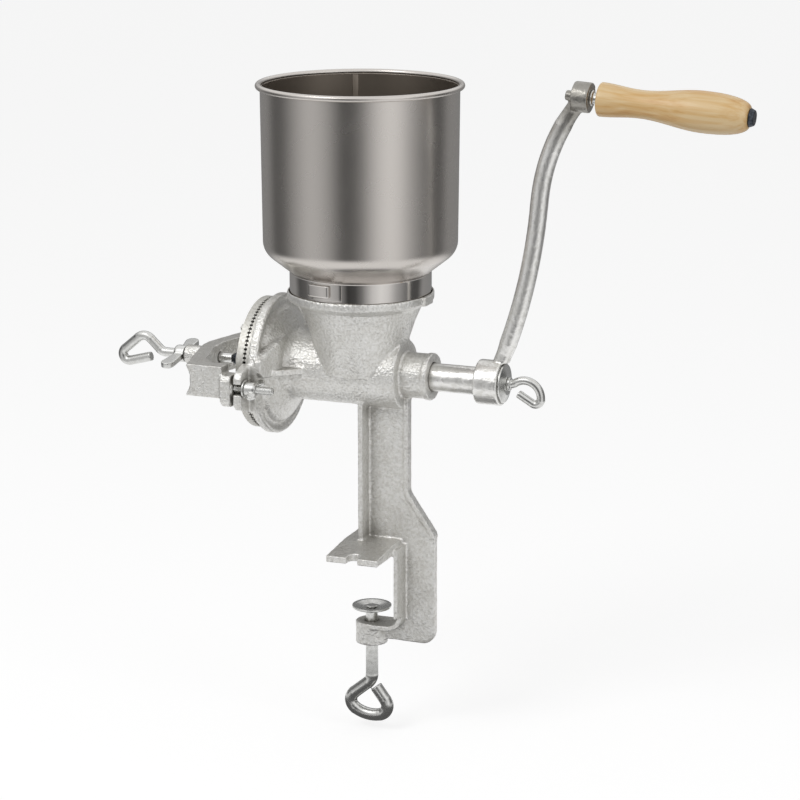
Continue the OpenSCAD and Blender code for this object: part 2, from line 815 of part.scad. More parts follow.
// the washer that bridges the fork's slot
module fork_washer(side) {
    color(zinc_colour)
        translate([fork_right_x + 0.1, side * stud_y, stud_z])
            rotate([0, 90, 0])
                difference() {
                    cylinder(h = washer_t, d = stud_d + 7);
                    translate([0, 0, -1])
                        cylinder(h = washer_t + 2, d = stud_d + 2 * run_fit);
                }
}

module washer_near() {
    fork_washer(-1);
}

module washer_far() {
    fork_washer(1);
}

// the wing nut that draws the yoke to the fork
module fork_nut(side) {
    color(zinc_colour)
        translate([fork_right_x + 0.2 + washer_t, side * stud_y, stud_z])
            rotate([0, 90, 0])
                rotate([0, 0, side * 70])
                    wing_nut(stud_d + 2 * run_fit, stud_d + 4.5, nut_hub_l, nut_span, 3.4, 2.6,
                        nut_hub_l * 0.5);
}

module wing_nut_near() {
    fork_nut(-1);
}

module wing_nut_far() {
    fork_nut(1);
}

// the screw that sets the gap between the plates
module adjusting_screw() {
    straight = screw_tip_x - lock_x + lock_hub_l + 8.8;
    color(zinc_colour)
        difference() {
            translate([screw_tip_x, 0, shaft_h])
                rotate([0, -90, 0])
                    rotate([0, 0, 180])
                        rod(adjust_d, [[straight], [adjust_d * 0.86, -43], [adjust_lead], [adjust_top_r, 83],
                            [adjust_side], [adjust_tip_r, 155], [adjust_tail]]);
            along_shaft(screw_tip_x - 1.2)
                cylinder(h = 1.4, r1 = 0, r2 = ball_r * 0.6);
        }
}

// the wing nut that locks the adjusting screw
module lock_wing_nut() {
    color(zinc_colour)
        translate([lock_x, 0, shaft_h])
            rotate([0, -90, 0])
                rotate([0, 0, 81])
                    wing_nut(adjust_d + 2 * run_fit, adjust_d + 5.6, lock_hub_l, 26, 5, 4.2, 0.3);
}

// the flat oval section of the crank arm
module arm_section() {
    edge = (arm_w - arm_t) / 2;
    polygon(concat(arc(edge, 0, arm_t / 2, -90, 90, 8), arc(-edge, 0, arm_t / 2, 90, 270, 8)));
}

// places a piece on the grip's pin, along +Z from the middle of the crank's eye
module on_pin() {
    translate([eye_x, 0, eye_z])
        rotate([0, 90 + grip_tilt, 0])
            children();
}

// hub, S-shaped arm and eye
module crank_arm() {
    color(cast_colour)
        difference() {
            union() {
                journal(hub_x, hub_end_x, hub_d / 2);
                translate([arm_mid_x, 0, shaft_h])
                    rotate([0, arm_lean, 0])
                        bent([[arm_low_r, -arm_low_turn], [arm_high_r, arm_high_turn]])
                            arm_section();
                on_pin()
                    translate([0, 0, -eye_l / 2])
                        cylinder(h = eye_l, d = eye_d);
            }
            translate([hub_x - 1, -square_w / 2 - run_fit, shaft_h - square_w / 2 - run_fit])
                cube([hub_l + 2, square_w + 2 * run_fit, square_w + 2 * run_fit]);
            // the hub's end is faced off for the dished washer
            translate([hub_end_x, -hub_d, shaft_h - hub_d])
                cube([hub_l, 2 * hub_d, 1.5 * hub_d - 1.2]);
            on_pin()
                translate([0, 0, -eye_l])
                    cylinder(h = 2 * eye_l, d = pin_d + 2 * run_fit);
        }
}

// the dished washer under the crank's thumb screw
module crank_washer() {
    rim_r = hub_d / 2 - 2;
    color(zinc_colour)
        along_shaft(hub_end_x + 0.1)
            rotate_extrude($fn = 96)
                polygon([[crank_screw_d / 2 + run_fit, dish_h - 1.2], [crank_screw_d / 2 + run_fit, dish_h],
                    [rim_r - 6, dish_h], [rim_r, 1.4], [rim_r, 0], [rim_r - 7, dish_h - 1.2]]);
}

// the thumb screw that holds the crank on the shaft
module crank_screw() {
    shoulder_x = hub_end_x + 0.2 + dish_h;
    start_x = hub_x + 3;
    color(zinc_colour) {
        translate([start_x, 0, shaft_h])
            rotate([0, 90, 0])
                rod(crank_screw_d, [[shoulder_x + 2.5 - start_x], [crank_screw_d * 0.67, -38], [thumb_r, 133],
                    [thumb_tip_r, 115], [thumb_tail]]);
        journal(shoulder_x, shoulder_x + 2, crank_screw_d / 2 + 1.8);
    }
}

// the pin that the grip turns on, riveted in the crank's eye
module crank_pin() {
    end = grip_start + grip_l + 0.3;
    color(steel_colour)
        on_pin() {
            translate([0, 0, -eye_l / 2 - 1])
                cylinder(h = end + eye_l / 2 + 1, d = pin_d);
            translate([0, 0, eye_l / 2 + 0.1])
                cylinder(h = 1.6, d = pin_d + 4);
            translate([0, 0, end])
                cylinder(h = 3.4, d1 = grip_tip_d, d2 = grip_tip_d - 3);
        }
}

// radius of the grip at a distance from its inner end
function grip_radius(s) =
    let (waist = grip_l * 0.28, belly = grip_l * 0.7)
    s < waist ? (grip_end_d + (grip_waist_d - grip_end_d) * ease(s / waist)) / 2 :
    s < belly ? (grip_waist_d + (grip_belly_d - grip_waist_d) * ease((s - waist) / (belly - waist))) / 2 :
    (grip_tip_d + (grip_belly_d - grip_tip_d) * sqrt(1 - pow((s - belly) / (grip_l - belly), 2.4))) / 2;

// the turned wooden grip, free on its pin
module wooden_grip() {
    steps = 36;
    bore_r = pin_d / 2 + run_fit;
    color(wood_colour)
        on_pin()
            translate([0, 0, grip_start])
                rotate_extrude($fn = 96)
                    polygon(concat([[bore_r, 0], [grip_end_d / 2 - 1.5, 0]],
                        [for (i = [1:steps]) let (s = grip_l * i / steps) [grip_radius(s), s]],
                        [[bore_r, grip_l]]));
}

// the clamp screw: loop, rod, neck and the head riveted over the pad
module clamp_screw() {
    straight = screw_top_z - boss_bottom_z + clamp_straight;
    head_h = 1;
    color(zinc_colour) {
        translate([0, 0, screw_top_z])
            rotate([180, 0, 0])
                rod(clamp_d, [[straight], [clamp_d * 0.87, -50], [clamp_lead], [clamp_corner_r, 110],
                    [clamp_bottom_r, 45], [clamp_corner_r, 112], [clamp_tail]]);
        translate([0, 0, screw_top_z - 1])
            cylinder(h = pad_t, r = pad_hole_r);
        translate([0, 0, screw_top_z + pad_t - 1])
            cylinder(h = head_h, r1 = pad_hole_r + 2, r2 = pad_hole_r + 1);
    }
}

// the dished pad that bears on the underside of the table
module clamp_pad() {
    rim_r = pad_d / 2;
    floor_h = pad_t - 1.6;
    color(zinc_colour)
        translate([0, 0, pad_bottom_z])
            rotate_extrude()
                polygon([[pad_hole_r + run_fit, 0], [pad_hole_r + 4, 0], [rim_r, pad_t - 1.6], [rim_r, pad_t],
                    [rim_r - 2.5, pad_t], [pad_hole_r + 3.5, floor_h], [pad_hole_r + run_fit, floor_h]]);
}

mill_body();
hopper_bowl();
hopper_collar();
fixed_grinding_plate();
fixed_plate_pins();
rotating_grinding_plate();
plate_carrier();
carrier_rivets();
drive_shaft();
feed_screw();
drive_pin();
thrust_ball();
adjusting_yoke();
stud_near();
stud_far();
washer_near();
washer_far();
wing_nut_near();
wing_nut_far();
adjusting_screw();
lock_wing_nut();
crank_arm();
crank_washer();
crank_screw();
crank_pin();
wooden_grip();
clamp_screw();
clamp_pad();
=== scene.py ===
# %% [markdown]
# # A hand-cranked malt mill
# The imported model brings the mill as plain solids, in metres, at the places where they really are.
# This lesson dresses those solids: castings get soft edges and a tinned skin, the hopper is spun again
# as thin sheet, the studs get their threads, and the grip becomes turned wood. Nothing moves, because
# every joint needs its place.

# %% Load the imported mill
import json
import math

import bpy
from mathutils import Matrix, Vector


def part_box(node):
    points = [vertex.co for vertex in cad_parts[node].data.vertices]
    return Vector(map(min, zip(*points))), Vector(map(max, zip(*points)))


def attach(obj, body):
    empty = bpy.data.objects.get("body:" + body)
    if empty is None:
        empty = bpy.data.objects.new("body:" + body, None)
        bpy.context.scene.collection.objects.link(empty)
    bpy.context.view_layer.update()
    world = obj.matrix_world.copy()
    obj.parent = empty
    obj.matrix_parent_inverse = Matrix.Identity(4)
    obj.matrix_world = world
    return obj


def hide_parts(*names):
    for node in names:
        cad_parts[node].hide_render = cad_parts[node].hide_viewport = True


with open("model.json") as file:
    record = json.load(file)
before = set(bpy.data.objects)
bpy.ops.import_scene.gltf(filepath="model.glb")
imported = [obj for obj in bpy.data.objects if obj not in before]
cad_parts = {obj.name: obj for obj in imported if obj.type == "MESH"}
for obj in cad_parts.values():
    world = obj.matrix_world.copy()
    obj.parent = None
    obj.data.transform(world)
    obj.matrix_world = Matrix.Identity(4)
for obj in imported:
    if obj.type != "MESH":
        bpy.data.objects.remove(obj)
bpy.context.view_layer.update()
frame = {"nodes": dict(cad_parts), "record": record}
nodes = frame["nodes"]
record = frame["record"]
body_of_node = {node: body for body, members in record["behaviour"]["bodies"].items() for node in members}
slot_of_node = {part["node"]: part["material_slot"] for part in record["subparts"]}
MM = 0.001

# %% [markdown]
# ## Small tools for materials
# A colour that we pick on a screen is stored in sRGB, but a shader adds light in linear numbers, so one
# function turns one into the other. Another one adds a shader node with its settings and links, so that
# each material below reads as a short list. A pattern's scale is one over the size of its spots.

# %% Colour and shader-node helpers
def colour(code):
    """'#RRGGBB' as the linear colour that Blender's sockets expect."""
    channels = [int(code[i:i + 2], 16) / 255 for i in (1, 3, 5)]
    return [c / 12.92 if c <= 0.04045 else ((c + 0.055) / 1.055) ** 2.4 for c in channels] + [1.0]


def grey(value):
    """A linear grey, for strengths and roughness that come from a colour ramp."""
    return [value, value, value, 1.0]


def per(size_mm):
    """The scale of a pattern whose spots have a size in mm."""
    return 1 / (size_mm * MM)


def add(tree, kind, values=None, links=None, stops=None, **settings):
    """Adds one node: values and links go to its sockets, stops to its colour ramp."""
    node = tree.nodes.new(kind)
    for name, value in settings.items():
        setattr(node, name, value)
    for socket, value in (values or {}).items():
        node.inputs[socket].default_value = value
    for socket, source in (links or {}).items():
        tree.links.new(source, node.inputs[socket])
    for i, (place, shade) in enumerate(stops or []):
        if i > 1:
            node.color_ramp.elements.new(place)
        node.color_ramp.elements[i].position = place
        node.color_ramp.elements[i].color = shade
    return node


def new_material(name):
    """A material with only its output, its node tree and a place on the object, in metres."""
    material = bpy.data.materials.new(name)
    material.use_nodes = True
    tree = material.node_tree
    tree.nodes.remove(tree.nodes["Principled BSDF"])
    return material, tree, add(tree, "ShaderNodeTexCoord").outputs["Object"]


def coat(material, shader):
    """Joins a finished shader to the material's output."""
    tree = material.node_tree
    tree.links.new(shader.outputs[0], tree.nodes["Material Output"].inputs["Surface"])
    return material


# %% [markdown]
# ## The tinned casting
# The body, the yoke and the crank are grey iron poured in sand and then dipped in molten tin.
# Tin is a pale, slightly warm metal. The sand leaves grains of one to two millimetres, and the tin runs
# over them, so the skin is lumpy and half dull. Two noises give the grain and the slow lumps, and a third
# one, of slow patches, joins the grain in the colour. Sheltered corners turn brown: painted shade, mixed
# with grease and grist that stay there. Faces that lie flat turn brown too, as painted shade on level
# tops. The iron round the crank's eye is darker as well.

# %% Material: hot-tinned sand-cast iron
# The brown for grime in corners, and for painted shade in corners and on level tops.
GRIME_AND_SHADE, BRIGHT_SPECK = "#6F6A60", "#F0EFED"
LUMP_MM, PATCH_MM = 7, 16
CORNER_MM, DARK_NEAR_MM, DARK_FAR_MM = 14, 14, 45


def tinned_iron(name, grain_mm, grain_depth_mm, lump_depth_mm, dull, tint, shade, metallic, top_shade_depth, darkened_round=None):
    """Sand-cast iron under a coat of tin; a deeper grain shows the sand more, and level tops get a painted
    shade.
    """
    material, tree, place = new_material(name)
    grain = add(tree, "ShaderNodeTexNoise", {"Scale": per(grain_mm), "Detail": 2.0, "Roughness": 0.55},
                {"Vector": place}).outputs["Fac"]
    lumps = add(tree, "ShaderNodeTexNoise", {"Scale": per(LUMP_MM), "Detail": 2.0},
                {"Vector": place}).outputs["Fac"]
    patches = add(tree, "ShaderNodeTexNoise", {"Scale": per(PATCH_MM), "Detail": 4.0},
                  {"Vector": place}).outputs["Fac"]
    speck = add(tree, "ShaderNodeMix", {"Factor": 0.3}, {"A": grain, "B": patches}).outputs["Result"]
    tone = add(tree, "ShaderNodeValToRGB", links={"Fac": speck},
               stops=[(0.38, colour(shade)), (0.5, colour(tint)), (0.66, colour(BRIGHT_SPECK))])
    # Ambient occlusion darkens sheltered corners: painted shade, mixed with the grime that stays there.
    shelter = add(tree, "ShaderNodeAmbientOcclusion", {"Distance": CORNER_MM * MM}, samples=8).outputs["AO"]
    corner_shade_and_grime = add(tree, "ShaderNodeMapRange", {"From Min": 0.8, "From Max": 0.25, "To Max": 0.75},
                {"Value": shelter})
    # Faces that look up turn brown: painted shade on level tops.
    facing = add(tree, "ShaderNodeTexCoord").outputs["Normal"]
    up = add(tree, "ShaderNodeSeparateXYZ", links={"Vector": facing}).outputs["Z"]
    painted_top_shade = add(tree, "ShaderNodeMapRange", {"From Min": 0.86, "From Max": 0.99, "To Max": top_shade_depth},
               {"Value": up})
    cover = add(tree, "ShaderNodeMath", links={0: corner_shade_and_grime.outputs["Result"], 1: painted_top_shade.outputs["Result"]},
                operation="MAXIMUM")
    # The iron turns darker round a given point, the crank's eye.
    if darkened_round:
        away = add(tree, "ShaderNodeVectorMath", {1: darkened_round}, {0: place}, operation="DISTANCE")
        eye_darkening = add(tree, "ShaderNodeMapRange",
                  {"From Min": DARK_FAR_MM * MM, "From Max": DARK_NEAR_MM * MM, "To Max": 0.75},
                  {"Value": away.outputs["Value"]})
        cover = add(tree, "ShaderNodeMath", links={0: cover.outputs[0], 1: eye_darkening.outputs["Result"]},
                    operation="MAXIMUM")
    # The brown covers the colour where the painted shade and the grime lie.
    shaded_and_soiled = add(tree, "ShaderNodeMix", {"B": colour(GRIME_AND_SHADE)},
                 {"Factor": cover.outputs[0], "A": tone.outputs["Color"]}, data_type="RGBA")
    gloss = add(tree, "ShaderNodeValToRGB", links={"Fac": grain},
                stops=[(0.3, grey(dull + 0.05)), (0.7, grey(dull - 0.05))])
    low = add(tree, "ShaderNodeBump", {"Strength": 1.0, "Distance": lump_depth_mm * MM}, {"Height": lumps})
    fine = add(tree, "ShaderNodeBump", {"Strength": 1.0, "Distance": grain_depth_mm * MM},
               {"Height": grain, "Normal": low.outputs["Normal"]})
    return coat(material, add(tree, "ShaderNodeBsdfPrincipled", {"Metallic": metallic},
                              {"Base Color": shaded_and_soiled.outputs["Result"], "Roughness": gloss.outputs["Color"],
                               "Normal": fine.outputs["Normal"]}))


EYE = Vector((156.038, 0, 337.032)) * MM  # the middle of the crank's eye
CASTING = tinned_iron("tinned_sand_casting", grain_mm=1.9, grain_depth_mm=0.9, lump_depth_mm=0.5, dull=0.36,
                      tint="#E6E5E1", shade="#D9D7D2", metallic=0.70, top_shade_depth=0.40)
# The smooth casting has a finer grain and less roughness, and a lighter tint than the sand casting, which is
# painted light.
SMOOTH_CASTING_PAINTED_LIGHT = tinned_iron("tinned_smooth_casting", grain_mm=4.0, grain_depth_mm=0.30, lump_depth_mm=0.35,
                             dull=0.32, tint="#EEEDEA", shade="#E0DFDB", metallic=0.90, top_shade_depth=0.25, darkened_round=EYE)
print("casting finishes:", CASTING.name, SMOOTH_CASTING_PAINTED_LIGHT.name)

# %% [markdown]
# ## The sheet
# The hopper is tinned sheet that was spun over a wooden form, which leaves very fine rings round it.
# The collar under it is the same sheet, but polished. The inside of the hopper stays unpolished and
# rougher, and its finish has a darker brown tint, which is painted shade.

# %% Material: spun, polished and dull tin sheet
def tin_sheet(name, roughness, ring_mm, ring_depth_mm, tint):
    """Tinned sheet with the fine rings of the spinning tool, drawn coarser than real so that they show."""
    material, tree, place = new_material(name)
    height = add(tree, "ShaderNodeSeparateXYZ", links={"Vector": place}).outputs["Z"]
    rings = add(tree, "ShaderNodeTexNoise", {"Scale": per(ring_mm), "Detail": 3.0, "Roughness": 0.7},
                {"W": height}, noise_dimensions="1D").outputs["Fac"]
    cloud = add(tree, "ShaderNodeTexNoise", {"Scale": per(30), "Detail": 3.0},
                {"Vector": place}).outputs["Fac"]
    gloss = add(tree, "ShaderNodeValToRGB", links={"Fac": cloud},
                stops=[(0.2, grey(roughness + 0.02)), (0.8, grey(roughness - 0.02))])
    bump = add(tree, "ShaderNodeBump", {"Strength": 0.6, "Distance": ring_depth_mm * MM}, {"Height": rings})
    return coat(material, add(tree, "ShaderNodeBsdfPrincipled", {"Metallic": 1.0, "Base Color": colour(tint)},
                              {"Roughness": gloss.outputs["Color"], "Normal": bump.outputs["Normal"]}))


TIN = tin_sheet("spun_tin_sheet", roughness=0.27, ring_mm=0.9, ring_depth_mm=0.004, tint="#CBC6C1")
POLISHED = tin_sheet("polished_tin_sheet", roughness=0.11, ring_mm=1.2, ring_depth_mm=0.001, tint="#D2CECA")
# The inside is rougher, and its darker brown tint is painted shade.
TIN_INSIDE_SHADED = tin_sheet("dull_tin_inside_painted_shade", roughness=0.40, ring_mm=1.1, ring_depth_mm=0.006, tint="#8C8379")
print("sheet finishes:", TIN.name, POLISHED.name, TIN_INSIDE_SHADED.name)

# %% [markdown]
# ## Steel and plate iron
# Rods, nuts and washers are bright zinc-plated steel: cold grey, with a faint crystal mottle. The grip's
# rivet head is dark plain steel. The grinding plates are hard iron, tinned and ground on their faces.

# %% Material: zinc-plated steel, dark steel and plate iron
def plated_steel(name, tint, shade, roughness, mottle_mm, bump_mm):
    """Plated or plain steel with a faint mottle."""
    material, tree, place = new_material(name)
    mottle = add(tree, "ShaderNodeTexNoise", {"Scale": per(mottle_mm), "Detail": 4.0},
                 {"Vector": place}).outputs["Fac"]
    tone = add(tree, "ShaderNodeValToRGB", links={"Fac": mottle},
               stops=[(0.35, colour(shade)), (0.65, colour(tint))])
    gloss = add(tree, "ShaderNodeValToRGB", links={"Fac": mottle},
                stops=[(0.3, grey(roughness + 0.08)), (0.7, grey(roughness - 0.05))])
    bump = add(tree, "ShaderNodeBump", {"Strength": 0.7, "Distance": bump_mm * MM}, {"Height": mottle})
    return coat(material, add(tree, "ShaderNodeBsdfPrincipled", {"Metallic": 1.0},
                              {"Base Color": tone.outputs["Color"], "Roughness": gloss.outputs["Color"],
                               "Normal": bump.outputs["Normal"]}))


ZINC = plated_steel("bright_zinc_plate", "#DADAD8", "#CCCCC9", roughness=0.24, mottle_mm=2.5, bump_mm=0.025)
DARK_STEEL = plated_steel("dark_riveted_steel", "#50545A", "#35383D", roughness=0.38, mottle_mm=1.5,
                          bump_mm=0.05)
PLATE_IRON = plated_steel("ground_plate_iron", "#D0CFCA", "#BDBBB5", roughness=0.5, mottle_mm=1.8,
                          bump_mm=0.06)
print("steel finishes:", ZINC.name, DARK_STEEL.name, PLATE_IRON.name)

# %% [markdown]
# ## The wood
# The grip is turned from pale wood and varnished. Its grain runs along the pin, so the pattern is first
# turned to lie along that line, and then stretched: long streaks along the grip, fine lines across it.

# %% Material: turned pale wood
GRIP_TILT = math.radians(3.8)


def turned_wood(name):
    """Pale turned wood: growth lines about 2.4 mm apart, wider streaks, and a clear varnish."""
    line_long, line_wide, streak_long, streak_wide = per(55.556), per(2.381), per(71.43), per(16.667)
    material, tree, place = new_material(name)
    along = add(tree, "ShaderNodeMapping", {"Rotation": (0.0, -GRIP_TILT, 0.0)},
                {"Vector": place}).outputs["Vector"]
    fine = add(tree, "ShaderNodeMapping", {"Scale": (line_long, line_wide, line_wide)},
               {"Vector": along}).outputs["Vector"]
    slow = add(tree, "ShaderNodeMapping", {"Scale": (streak_long, streak_wide, streak_wide)},
               {"Vector": along}).outputs["Vector"]
    lines = add(tree, "ShaderNodeTexNoise", {"Scale": 1.0, "Detail": 3.0, "Roughness": 0.55},
                {"Vector": fine}).outputs["Fac"]
    clouds = add(tree, "ShaderNodeTexNoise", {"Scale": 1.0, "Detail": 2.0}, {"Vector": slow}).outputs["Fac"]
    mixed = add(tree, "ShaderNodeMix", {"Factor": 0.45}, {"A": lines, "B": clouds}).outputs["Result"]
    tone = add(tree, "ShaderNodeValToRGB", links={"Fac": mixed},
               stops=[(0.32, colour("#CC9350")), (0.46, colour("#E4BA7B")), (0.62, colour("#F0D2A0"))])
    bump = add(tree, "ShaderNodeBump", {"Strength": 0.4, "Distance": 0.05 * MM}, {"Height": lines})
    return coat(material, add(tree, "ShaderNodeBsdfPrincipled",
                              {"Roughness": 0.42, "Coat Weight": 0.3, "Coat Roughness": 0.25},
                              {"Base Color": tone.outputs["Color"], "Normal": bump.outputs["Normal"]}))


WOOD = turned_wood("turned_pale_wood")
print("grip finish:", WOOD.name)

# %% [markdown]
# ## Tools for pieces
# Blender's operators act on whatever is selected, and the loaded solids arrive selected. So each step
# starts from an empty selection with one active object. A piece that stands for a solid rides on the
# same body, so it turns and slides with it.

# %% Selection, finishing and riding helpers
def only(piece):
    """Makes one object the selected and active one."""
    bpy.ops.object.select_all(action="DESELECT")
    piece.select_set(True)
    bpy.context.view_layer.objects.active = piece


def apply_all(piece):
    """Applies every modifier on a piece, in order."""
    only(piece)
    for modifier in list(piece.modifiers):
        bpy.ops.object.modifier_apply(modifier=modifier.name)


def close_up(piece):
    """Merges doubled points, fills open ends and turns all faces outwards."""
    only(piece)
    bpy.ops.object.mode_set(mode="EDIT")
    bpy.ops.mesh.select_all(action="SELECT")
    bpy.ops.mesh.remove_doubles(threshold=0.000001)
    bpy.ops.mesh.fill_holes(sides=0)
    bpy.ops.mesh.select_all(action="SELECT")
    bpy.ops.mesh.normals_make_consistent(inside=False)
    bpy.ops.object.mode_set(mode="OBJECT")


def stand_for(piece, node, *finishes):
    """Gives a piece its finishes and lets it ride and stand in the place of a solid."""
    piece.data.materials.clear()
    for finish in finishes:
        piece.data.materials.append(finish)
    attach(piece, body_of_node[node])
    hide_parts(node)
    triangles = sum(len(p.vertices) - 2 for p in piece.data.polygons)
    print(f"{piece.name}: {triangles} triangles, {finishes[0].name}")
    return piece


# %% [markdown]
# ## Castings with soft edges
# A casting has no sharp edge: the sand crumbles and the tin fills each inner corner. We could bevel every
# edge by hand, but the solid has hundreds of them. A copy is remeshed into small even faces and then
# smoothed, which rounds the outer edges and fills the inner ones, as the foundry does. A cloud pattern
# then presses the skin in by a fraction of a millimetre, because no cast face is truly flat.

# %% Remesh and smooth the castings
sand = bpy.data.textures.new("sand_mould", "CLOUDS")
sand.noise_scale = 9 * MM
sand.noise_depth = 1


def soft_copy(node, name, voxel_mm, passes, *finishes, dents_mm=0.0, keep=1.0):
    """A remeshed and smoothed copy of a solid, which then stands for it."""
    piece = bpy.data.objects.new(name, nodes[node].data.copy())
    bpy.context.scene.collection.objects.link(piece)
    only(piece)
    bpy.ops.object.mode_set(mode="EDIT")
    bpy.ops.mesh.select_all(action="SELECT")
    bpy.ops.mesh.remove_doubles(threshold=0.00001)
    bpy.ops.object.mode_set(mode="OBJECT")
    remesh = piece.modifiers.new("even_faces", "REMESH")
    remesh.mode = "VOXEL"
    remesh.voxel_size = voxel_mm * MM
    smooth = piece.modifiers.new("worn_edges", "SMOOTH")
    smooth.factor = 0.5
    smooth.iterations = passes
    if dents_mm:
        press = piece.modifiers.new("mould_dents", "DISPLACE")
        press.texture = sand
        press.texture_coords = "LOCAL"
        press.strength = dents_mm * MM
        press.mid_level = 1.0
    if keep < 1.0:
        thin = piece.modifiers.new("fewer_faces", "DECIMATE")
        thin.ratio = keep
    apply_all(piece)
    bpy.ops.object.shade_smooth()
    return stand_for(piece, node, *finishes)


CASTING_VOXEL_MM = 0.8
soft_copy("mill_body", "cast_body", CASTING_VOXEL_MM, 4, CASTING, dents_mm=0.4, keep=0.42)
soft_copy("adjusting_yoke", "cast_yoke", CASTING_VOXEL_MM, 3, CASTING, dents_mm=0.5)
soft_copy("plate_carrier", "cast_carrier", 0.9, 3, CASTING, dents_mm=0.2)
crank = soft_copy("crank_arm", "cast_crank", CASTING_VOXEL_MM, 3, SMOOTH_CASTING_PAINTED_LIGHT)

# %% [markdown]
# ## The crank's round bar
# Between its hub and its eye the crank is a nearly round bar, so its light runs along it without a hard
# edge. The points of that stretch are smoothed further, and then pushed out again by the little that
# smoothing takes away. A vertex group keeps the hub and the eye as they are.

# %% Round the crank's bar
HUB = Vector((91.6, 0, 131)) * MM
HUB_KEEP_MM, EYE_KEEP_MM, BLEND_MM = 24, 17, 8
bar = crank.vertex_groups.new(name="bar")
for v in crank.data.vertices:
    clear = min((v.co - HUB).length / MM - HUB_KEEP_MM, (v.co - EYE).length / MM - EYE_KEEP_MM)
    if clear > 0:
        bar.add([v.index], min(1.0, clear / BLEND_MM), "REPLACE")
rounder = crank.modifiers.new("round_bar", "SMOOTH")
rounder.iterations = 120
rounder.vertex_group = "bar"
fuller = crank.modifiers.new("full_bar", "DISPLACE")
fuller.strength = 1.3 * MM
fuller.mid_level = 0.0
fuller.vertex_group = "bar"
apply_all(crank)
print("points on the crank's bar:", sum(1 for v in crank.data.vertices if v.groups))

# %% [markdown]
# ## Rods, nuts, washers and the pad
# The loops are bent from round rod, and the wing nuts are small castings, all zinc plated. The same way
# works for them with smaller faces: it also melts the joins between the rod's straight and bent runs.

# %% Rods, nuts, washers and the pad
for node, voxel_mm, passes in (("adjusting_screw", 0.45, 8), ("crank_screw", 0.4, 8),
                               ("clamp_screw", 0.5, 8), ("wing_nut_near", 0.35, 6),
                               ("wing_nut_far", 0.35, 6), ("lock_wing_nut", 0.45, 7),
                               ("crank_washer", 0.35, 4), ("washer_near", 0.25, 3),
                               ("washer_far", 0.25, 3), ("clamp_pad", 0.35, 4)):
    soft_copy(node, "plated_" + node, voxel_mm, passes, ZINC)

# %% [markdown]
# ## The grip's rivet
# The pin that the grip turns on is bright steel with a collar at the crank's eye. Its far end was
# hammered over a dark cap. One copy of the solid takes both finishes: each face beyond the wood is dark.

# %% Rivet in two finishes
GRIP_START, GRIP_LENGTH = 12.0, 105.0
along_pin = Vector((math.cos(GRIP_TILT), 0, -math.sin(GRIP_TILT)))
rivet = soft_copy("crank_pin", "grip_rivet", 0.35, 5, ZINC, DARK_STEEL)
for face in rivet.data.polygons:
    face.material_index = int((face.center - EYE).dot(along_pin) > (GRIP_START + GRIP_LENGTH) * MM)
print("dark faces on the rivet:", sum(face.material_index for face in rivet.data.polygons))

# %% [markdown]
# ## Pulling up round pieces
# A spun or turned piece is a row of rings. We start from a circle and pull it up ring by ring, as a potter
# pulls a wall: each step extrudes the open edge and then widens or narrows it. The bowl, the collar, the
# studs and the grip are all made this way.

# %% Helpers for round pieces
def pull_up(name, axis, rings, segments):
    """A wall pulled up from a circle through (radius, height) rings, in mm, round a vertical axis."""
    bpy.ops.object.select_all(action="DESELECT")
    radius, height = rings[0]
    bpy.ops.mesh.primitive_circle_add(vertices=segments, radius=radius * MM,
                                      location=(axis.x, axis.y, height * MM))
    piece = bpy.context.object
    piece.name = piece.data.name = name
    bpy.ops.object.transform_apply(location=True)
    bpy.ops.object.mode_set(mode="EDIT")
    bpy.ops.mesh.select_all(action="SELECT")
    for next_radius, next_height in rings[1:]:
        rise = (next_height - height) * MM
        bpy.ops.mesh.extrude_region_move(TRANSFORM_OT_translate={"value": (0, 0, rise)})
        grow = next_radius / radius
        bpy.ops.transform.resize(value=(grow, grow, 1),
                                 center_override=(axis.x, axis.y, next_height * MM))
        radius, height = next_radius, next_height
    bpy.ops.object.mode_set(mode="OBJECT")
    return piece


def corner(radius, height, r, start, finish, steps):
    """Rings round a rounded corner, whose centre lies at a radius and a height."""
    turns = [math.radians(start + (finish - start) * i / steps) for i in range(steps + 1)]
    return [(radius + r * math.cos(a), height + r * math.sin(a)) for a in turns]


def wall(piece, thickness_mm):
    """Makes a wall solid, inwards from the drawn face."""
    only(piece)
    bpy.ops.object.mode_set(mode="EDIT")
    bpy.ops.mesh.select_all(action="SELECT")
    bpy.ops.mesh.normals_make_consistent(inside=False)
    bpy.ops.object.mode_set(mode="OBJECT")
    solid = piece.modifiers.new("sheet", "SOLIDIFY")
    solid.thickness = thickness_mm * MM
    solid.offset = -1
    apply_all(piece)


# %% [markdown]
# ## Small plates on the hopper
# The bowl has a lapped seam up its inside, and the collar's ends lap under a small tongue. Each is a
# flat plate that follows the round wall: a grid gets its thickness, is wrapped round the hopper's axis
# point by point, and gets a small bevel.

# %% Helper for wrapped plates
HOPPER_AXIS = Vector((-8 * MM, 0, 0))


